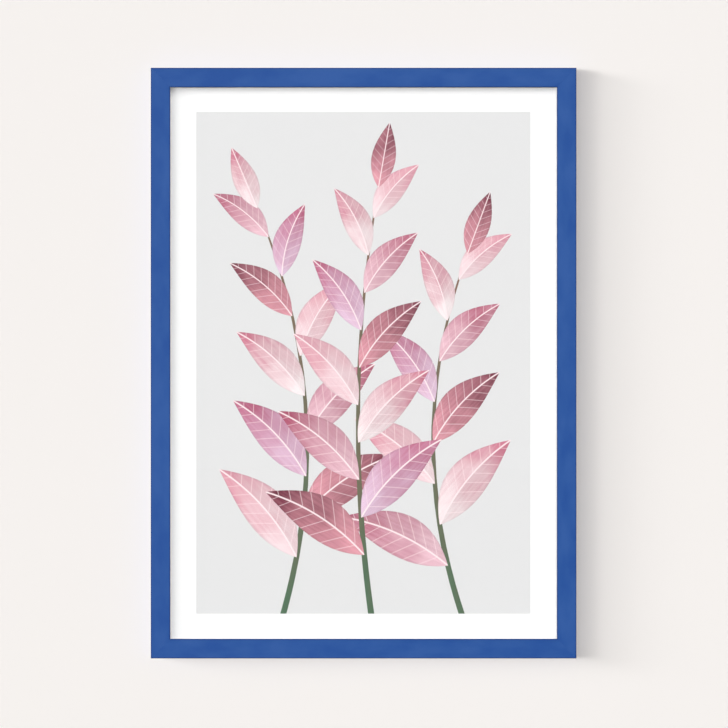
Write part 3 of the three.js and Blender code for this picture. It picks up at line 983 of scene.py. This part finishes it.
# %% [markdown]
# ## Boards
# The backing is hardboard: wood fibres pressed hot into a dense brown sheet, with pale and dark
# fibres lying every way. The filler is greyboard, pressed from mixed paper waste. Both are plain
# boxes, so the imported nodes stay. Their loose triangles are welded, flush ones are joined, and the
# edges get a small radius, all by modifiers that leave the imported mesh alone. Real fibres are a
# third of a millimetre wide, so they are drawn three times as coarse, or the board would look like
# card.

# %% Boards
WELD_WITHIN = 0.002 * MM
FLUSH_ANGLE, EDGE_ANGLE = np.radians(1), np.radians(30)
EDGE_STEPS = 3
BOARD_EDGE = 0.25 * MM
HARD_TONES = ((0.38, linear("6A4C34")), (0.5, linear("7F6045")), (0.64, linear("967657")))
GREY_TONES = ((0.35, linear("A98F66")), (0.65, linear("CDB48A")))
FIBRE_LONG, FIBRE_WIDE, MOTTLE = 5 * MM, 0.9 * MM, 60 * MM
FIBRE_WAYS = np.radians((10, 75, 130))
FIBRE_DETAIL, FIBRE_CURL, FIBRE_DEEP = 3.0, 1.6, 0.03 * MM
HARD_ROUGH, GREY_ROUGH = 0.62, 0.92
MOTTLE_SHARE, MOTTLE_LEVEL = 0.12, -0.06


def ease(node, width):
    """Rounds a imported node's edges to a width."""
    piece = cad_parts[node]
    piece.modifiers.new("weld", "WELD").merge_threshold = WELD_WITHIN
    flush = piece.modifiers.new("flush", "DECIMATE")
    flush.decimate_type = "DISSOLVE"
    flush.angle_limit = FLUSH_ANGLE
    edge = piece.modifiers.new("edge", "BEVEL")
    edge.width = width
    edge.segments = EDGE_STEPS
    edge.angle_limit = EDGE_ANGLE


def pressed_board(name, tones, rough):
    """Fibres three ways over a slow mottle, all of it noise on the object's own place. The
    distortion curls them, and the fibres are the mean of the three."""
    made, tree = new_material(name)
    place = add_node(tree, "TexCoord").outputs["Object"]
    fibres = 0.0
    for turn in FIBRE_WAYS:
        turned = add_node(tree, "Mapping", {"Vector": place, "Rotation": (0, turn, 0)})
        lying = stretched_noise(tree, turned, FIBRE_LONG, FIBRE_WIDE, FIBRE_DETAIL)
        lying.inputs["Distortion"].default_value = FIBRE_CURL
        summed = {0: lying, 1: 1 / len(FIBRE_WAYS), 2: fibres}
        fibres = add_node(tree, "Math", summed, operation="MULTIPLY_ADD")
    mottle = add_node(tree, "TexNoise", {"Vector": place, "Scale": 1 / MOTTLE})
    level = {0: mottle, 1: MOTTLE_SHARE, 2: MOTTLE_LEVEL}
    shift = add_node(tree, "Math", level, operation="MULTIPLY_ADD")
    tone = add_node(tree, "Math", {0: fibres, 1: shift}, operation="ADD")
    colour = add_node(tree, "ValToRGB", {0: tone}, stops=tones)
    values = {"Base Color": colour, "Roughness": rough}
    return finish_with(made, tree, fibres, FIBRE_DEEP, values)


dress("backing_board", pressed_board("smooth-faced hardboard", HARD_TONES, HARD_ROUGH))
dress("filler_board", pressed_board("greyboard", GREY_TONES, GREY_ROUGH))
ease("backing_board", BOARD_EDGE)
ease("filler_board", BOARD_EDGE)
print("boards dressed")

# %% [markdown]
# ## Zinc-plated steel
# Hanger, nails, screws and turn buttons are mild steel, stamped or turned and then plated with
# zinc. That gives a light grey metal with a soft shine, fine clouds about a millimetre across where
# the crystals grew, and hair-fine scratches from tumbling in the drum.

# %% Zinc-plated steel
ZINC_TONES = ((0.30, linear("A6AAB0")), (0.70, linear("C9CCD0")))
SPANGLE, SCRATCH_LONG, SCRATCH_WIDE = 1.1 * MM, 6 * MM, 0.12 * MM
ZINC_ROUGH_LOW, ZINC_ROUGH_HIGH = 0.26, 0.42
SCRATCH_DETAIL, SCRATCH_DEEP = 1.0, 0.006 * MM
SCRATCH_TURN = (np.radians(25), np.radians(35), np.radians(15))


def zinc_steel():
    """Metal whose tone and roughness follow the crystals, with scratches as a fine bump."""
    made, tree = new_material("bright zinc-plated steel")
    place = add_node(tree, "TexCoord").outputs["Object"]
    spangle = add_node(tree, "TexNoise", {"Vector": place, "Scale": 1 / SPANGLE})
    turned = add_node(tree, "Mapping", {"Vector": place, "Rotation": SCRATCH_TURN})
    scratch = stretched_noise(tree, turned, SCRATCH_LONG, SCRATCH_WIDE, SCRATCH_DETAIL)
    spread = {"Value": spangle, "To Min": ZINC_ROUGH_LOW, "To Max": ZINC_ROUGH_HIGH}
    rough = add_node(tree, "MapRange", spread)
    colour = add_node(tree, "ValToRGB", {0: spangle}, stops=ZINC_TONES)
    values = {"Base Color": colour, "Metallic": 1.0, "Roughness": rough}
    return finish_with(made, tree, scratch, SCRATCH_DEEP, values)


STAMPED_EDGE, V_EDGE = 0.12 * MM, 0.05 * MM
zinc = zinc_steel()
dress("hanger", zinc)
ease("hanger", STAMPED_EDGE)
for corner in ("top_left", "top_right", "bottom_left", "bottom_right"):
    dress(f"v_nail_{corner}", zinc)
    ease(f"v_nail_{corner}", V_EDGE)
print("made", zinc.name)

# %% [markdown]
# ## Turn buttons
# A turn button is stamped from 1.2 mm sheet: a wide round end with the screw's hole, straight sides
# and a narrow round end that reaches over the backing. A rib is pressed along it to stiffen it, so
# it stands up on one face and is sunk into the other. The whole button is one surface, whose two
# parameters go round the outline and round the sheet's own thickness.

# %% Outline of a turn button
WIDE_R, NARROW_R, REACH = 5.2 * MM, 3.4 * MM, 16.4 * MM
PLATE_LOW, PLATE_HIGH = 0.3 * MM, 1.5 * MM
PLATE_ROUND, HOLE_ROUND, HOLE_R = 0.3 * MM, 0.15 * MM, 1.8 * MM
RIB_FROM, RIB_TO, RIB_WIDE, RIB_HIGH = 5.6 * MM, 13.4 * MM, 0.9 * MM, 0.28 * MM
ARC_COUNT, SIDE_COUNT, TOP_COUNT = 36, 12, 16


def button_outline():
    """Points and outward normals. The straight sides touch both circles where the normal's cosine
    is the difference of the radii over the distance between the centres."""
    apart = REACH - NARROW_R
    touch = np.arccos((WIDE_R - NARROW_R) / apart)
    angles = (
        np.linspace(touch, 2 * np.pi - touch, ARC_COUNT),
        np.full(SIDE_COUNT, -touch),
        np.linspace(-touch, touch, ARC_COUNT),
        np.full(SIDE_COUNT, touch),
    )
    there = np.linspace(0, 1, SIDE_COUNT + 2)[1:-1]
    shares = (np.zeros(ARC_COUNT), there, np.ones(ARC_COUNT), there[::-1])
    angle, share = np.concatenate(angles), np.concatenate(shares)
    normal = np.stack([np.cos(angle), np.sin(angle)], axis=-1)
    radius = WIDE_R + (NARROW_R - WIDE_R) * share
    centre = np.stack([share * apart, np.zeros_like(share)], axis=-1)
    return centre + radius[:, None] * normal, normal


print("outline has", len(button_outline()[0]), "points")

# %% Surface of a turn button
DOWN, LEVEL, UP = -90, 0, 90


def edge_arc(share, radius, start, end, level):
    """A quarter arc from start to end degrees, as rows of plate_profile, at the rim (share 1) or at
    the hole (share 0): radius (1 - cos) off that edge, and radius sin above level."""
    turn = np.radians(np.linspace(start, end, ARC_POINTS))
    off = radius * (1 - np.cos(turn))
    rows = [share + 0 * off, (1 - share) * off, share * off, level + radius * np.sin(turn)]
    return np.stack(rows, axis=-1)


def plate_profile():
    """Once round the sheet's thickness, as rows of: share from hole to rim, distance off the hole,
    distance in from the rim, and height. Each rounded edge is two quarter arcs."""
    inwards = np.linspace(1, 0, TOP_COUNT)[1:-1, None] * [1, 0, 0, 0]
    return np.concatenate([
        edge_arc(1, PLATE_ROUND, DOWN, LEVEL, PLATE_LOW + PLATE_ROUND),
        edge_arc(1, PLATE_ROUND, LEVEL, UP, PLATE_HIGH - PLATE_ROUND),
        inwards + [0, HOLE_ROUND, PLATE_ROUND, PLATE_HIGH],
        edge_arc(0, HOLE_ROUND, UP, LEVEL, PLATE_HIGH - HOLE_ROUND),
        edge_arc(0, HOLE_ROUND, LEVEL, DOWN, PLATE_LOW + HOLE_ROUND),
        inwards[::-1] + [0, HOLE_ROUND, PLATE_ROUND, PLATE_LOW],
    ])


def button_rings(middle, facing):
    """At each outline point P with normal n and direction h from the screw: the point is (1 - t)
    (hole + a) h + t (P - b n), for the profile's share t and distances a and b, and the rib lifts
    it by a bell of its distance from the rib's line. facing is 1 or -1, the way that the button
    reaches."""
    outline, normal = button_outline()
    ray = outline / np.linalg.norm(outline, axis=1)[:, None]
    t, off_hole, in_rim, height = plate_profile().T[..., None]
    hole_side = (HOLE_R + off_hole) * ray[:, None]
    rim_side = outline[:, None] - in_rim * normal[:, None]
    place = (1 - t) * hole_side + t * rim_side
    past = place[..., 0] - np.clip(place[..., 0], RIB_FROM, RIB_TO)
    bell = np.exp(-((np.hypot(past, place[..., 1]) / RIB_WIDE) ** 2))
    up = height[:, 0] + RIB_HIGH * bell
    return middle + np.stack([facing * place[..., 0], up, place[..., 1]], axis=-1)


for name in SCREW_NAMES:
    node = f"turn_button_{name}"
    facing = 1 if name.startswith("left") else -1
    rings = button_rings(node_middle(f"button_screw_{name}"), facing)
    mesh = closed_mesh(f"button_plate_{name}", rings, skin(rings, loop=True))
    add_piece(f"button_plate_{name}", mesh, zinc, f"button_{name}", node)
print("turn buttons:", len(SCREW_NAMES), "with", len(mesh.vertices), "points each")

# %% [markdown]
# ## Screws, nails and rubber feet
# These are all turned shapes: a profile of radius and height swept round the Y axis. The screw
# needs two things more, which are formulas on the same grid. Its thread is a ridge that climbs one
# pitch a turn, and its cross recess is pressed into the head.

# %% Pan-head screws
SCREW_AROUND, THREAD_ROWS, HEAD_ROWS = 72, 64, 26
CORE_R, CREST_R, THREAD_PITCH, THREAD_TOP = 1.15 * MM, 1.55 * MM, 1.3 * MM, -1.2 * MM
RIDGE_STEEP, MID_PITCH, THREAD_FADE = 3, 0.5, 1 * MM
SCREW_TIP, POINT_LONG, TIP_R = -9 * MM, 3 * MM, 0.06 * MM
SHANK_R, HEAD_UNDER, HEAD_R, RIM_HIGH, HEAD_HIGH = 1.5 * MM, 1.8 * MM, 3.4 * MM, 0.7 * MM, 1.7 * MM
UNDER_ROUND = 0.2 * MM
CROSS_HALF, CROSS_LONG, CROSS_DEEP, CROSS_SOFT = 0.42 * MM, 1.75 * MM, 0.95 * MM, 0.22 * MM


def smooth_step(value, start, end):
    """3 t t - 2 t t t, where t goes from 0 at start to 1 at end."""
    t = np.clip((value - start) / (end - start), 0, 1)
    return t * t * (3 - 2 * t)


def cross_recess(x, z):
    """1 inside two crossed bars, falling softly to 0 at their sides and ends."""
    def bar(along, across):
        side = smooth_step(np.abs(across), CROSS_HALF + CROSS_SOFT, CROSS_HALF - CROSS_SOFT)
        return side * smooth_step(np.abs(along), CROSS_LONG, CROSS_LONG - 2 * CROSS_SOFT)

    return np.maximum(bar(x, z), bar(z, x))


def screw_profile():
    """Radius and height: point, thread, plain shank, the head's rounded underside, and a dome that
    is a quarter of an ellipse."""
    height = np.linspace(SCREW_TIP, THREAD_TOP, THREAD_ROWS)
    radius = np.interp(height, [SCREW_TIP, SCREW_TIP + POINT_LONG], [TIP_R, CORE_R])
    thread = np.stack([radius, height], axis=-1)
    shoulder = [(SHANK_R, THREAD_TOP + SHANK_R - CORE_R), (SHANK_R, HEAD_UNDER)]
    rim = [(HEAD_R, HEAD_UNDER), (HEAD_R, HEAD_UNDER + RIM_HIGH)]
    under = rounded(shoulder + rim, (0, 0, UNDER_ROUND, 0))
    turn = np.linspace(0, np.pi / 2, HEAD_ROWS)[1:]
    bulge = HEAD_UNDER + RIM_HIGH + (HEAD_HIGH - RIM_HIGH) * np.sin(turn)
    dome = np.stack([np.maximum(HEAD_R * np.cos(turn), TIP_R), bulge], axis=-1)
    return np.concatenate([thread, under, dome])


def screw_rings(middle):
    """The turned profile, with the thread added to the radius and the recess taken off the height.
    The ridge is 1 - 3 |f - 0.5|, where f is the part after the point of height / pitch - turn."""
    profile = screw_profile()
    turn = np.linspace(0, 1, SCREW_AROUND, endpoint=False)
    radius, height = profile.T[..., None]
    climb = height / THREAD_PITCH - turn
    ridge = np.clip(1 - RIDGE_STEEP * np.abs(climb - np.floor(climb) - MID_PITCH), 0, 1)
    cut = smooth_step(height, SCREW_TIP, SCREW_TIP + POINT_LONG)
    cut = cut * smooth_step(height, THREAD_TOP, THREAD_TOP - THREAD_FADE)
    wide = radius + (CREST_R - CORE_R) * ridge * cut
    x, z = wide * np.cos(2 * np.pi * turn), wide * np.sin(2 * np.pi * turn)
    on_head = height > HEAD_UNDER + RIM_HIGH / 2
    up = height - CROSS_DEEP * cross_recess(x, z) * on_head
    return middle + np.stack([x, up, z], axis=-1)


for name in SCREW_NAMES:
    node = f"button_screw_{name}"
    rings = screw_rings(node_middle(node))
    mesh = closed_mesh(f"pan_screw_{name}", rings, skin(rings))
    add_piece(f"pan_screw_{name}", mesh, zinc, "frame", node)
print("screws:", len(SCREW_NAMES), "with", len(mesh.vertices), "points each")

# %% Hanger nails and rubber feet
NAIL_AROUND, FOOT_AROUND = 48, 64
# The corners of each profile, as radius and height, and how much each is rounded, in millimetres.
NAIL_CORNERS = (
    (0.05, -10), (0.9, -8), (0.9, 1.3), (2.2, 1.3), (2.2, 1.75), (1.3, 2.1), (0.05, 2.1),
)
NAIL_ROUNDS = (0, 0.3, 0, 0.12, 0.25, 0.9, 0)
FOOT_CORNERS = ((0.05, 0), (5, 0), (5, 2), (3.3, 4), (0.05, 4))
FOOT_ROUNDS = (0, 0.15, 1.6, 0.35, 0)
NAIL_PROFILE = rounded(np.array(NAIL_CORNERS) * MM, np.array(NAIL_ROUNDS) * MM)
FOOT_PROFILE = rounded(np.array(FOOT_CORNERS) * MM, np.array(FOOT_ROUNDS) * MM)
RUBBER_TONES = ((0.35, linear("242527")), (0.65, linear("303134")))
RUBBER_GRAIN, RUBBER_DEEP, RUBBER_ROUGH = 0.5 * MM, 0.02 * MM, 0.62


def moulded_rubber():
    """Black rubber with the fine matt grain of its mould."""
    made, tree = new_material("moulded black rubber")
    place = add_node(tree, "TexCoord").outputs["Object"]
    grain = add_node(tree, "TexNoise", {"Vector": place, "Scale": 1 / RUBBER_GRAIN})
    colour = add_node(tree, "ValToRGB", {0: grain}, stops=RUBBER_TONES)
    values = {"Base Color": colour, "Roughness": RUBBER_ROUGH}
    return finish_with(made, tree, grain, RUBBER_DEEP, values)


rubber = moulded_rubber()
for side in SIDES:
    nail = turned_rings(NAIL_PROFILE, node_middle(f"hanger_nail_{side}"), NAIL_AROUND)
    nail_mesh = closed_mesh(f"wire_nail_{side}", nail, skin(nail))
    add_piece(f"wire_nail_{side}", nail_mesh, zinc, "frame", f"hanger_nail_{side}")
    foot = turned_rings(FOOT_PROFILE, node_middle(f"bumper_{side}"), FOOT_AROUND)
    foot_mesh = closed_mesh(f"rubber_foot_{side}", foot, skin(foot))
    add_piece(f"rubber_foot_{side}", foot_mesh, rubber, "frame", f"bumper_{side}")
print("nails and feet in place")
